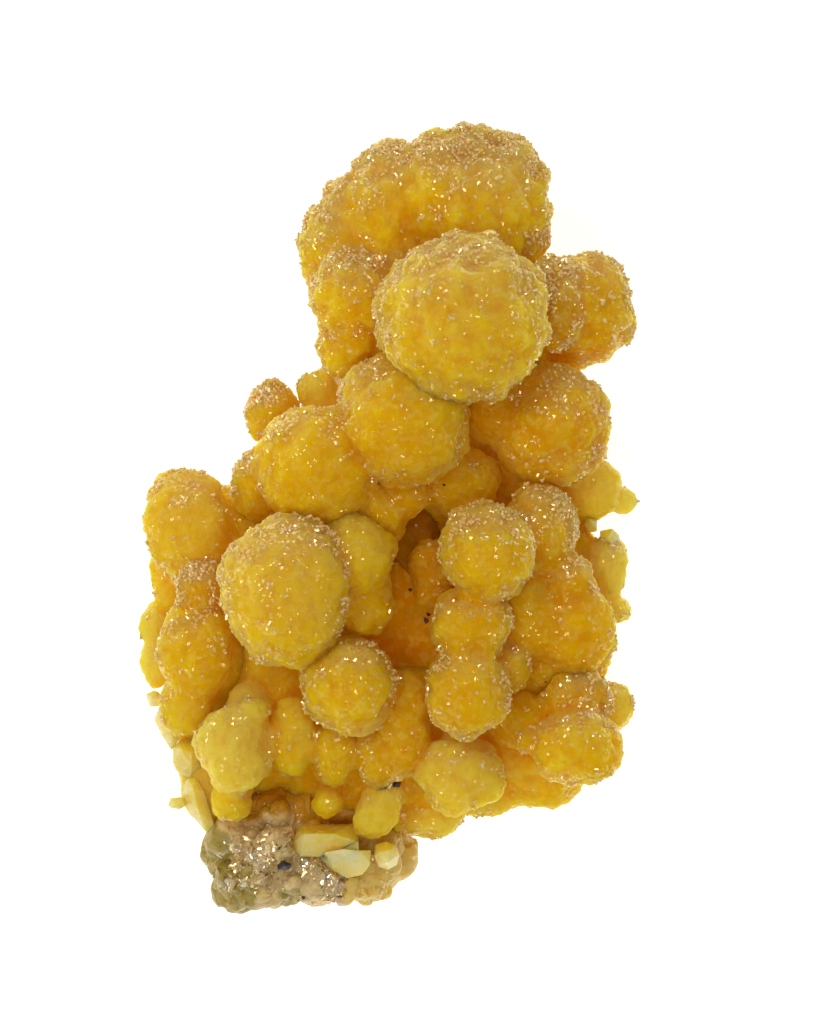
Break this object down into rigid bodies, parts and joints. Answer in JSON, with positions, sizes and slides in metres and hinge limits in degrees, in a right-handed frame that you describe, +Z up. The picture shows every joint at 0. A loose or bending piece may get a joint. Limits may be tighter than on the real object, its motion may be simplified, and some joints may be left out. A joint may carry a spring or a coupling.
{
  "type": "mimetite specimen",
  "caption": "Cluster of intergrown yellow mineral balls on pale granular rock, lying on its flat back.",
  "frame": {"origin": "middle of the specimen's outline, on the surface that the flat underside of its rock rests on", "axes": "+Y towards the specimen's top end, along its length; +Z up, out of the side with the balls; +X to the right of someone who looks at the balls with the top end up"},
  "size_m": [0.02, 0.0315, 0.0129],
  "materials": {
    "mimetite": "translucent yellow-orange, finely crystalline, sparkling",
    "matrix": "pale granular rock with flaky sparkling grains",
    "foot_crystals": "translucent lemon crystal, smooth faces",
    "left_rim_crystals": "translucent lemon crystal, smooth faces"
  },
  "bodies": {
    "root": {"mimetite": "mimetite", "matrix": "matrix", "foot_crystals": "foot_crystals", "left_rim_crystals": "left_rim_crystals"}
  },
  "joints": []
}
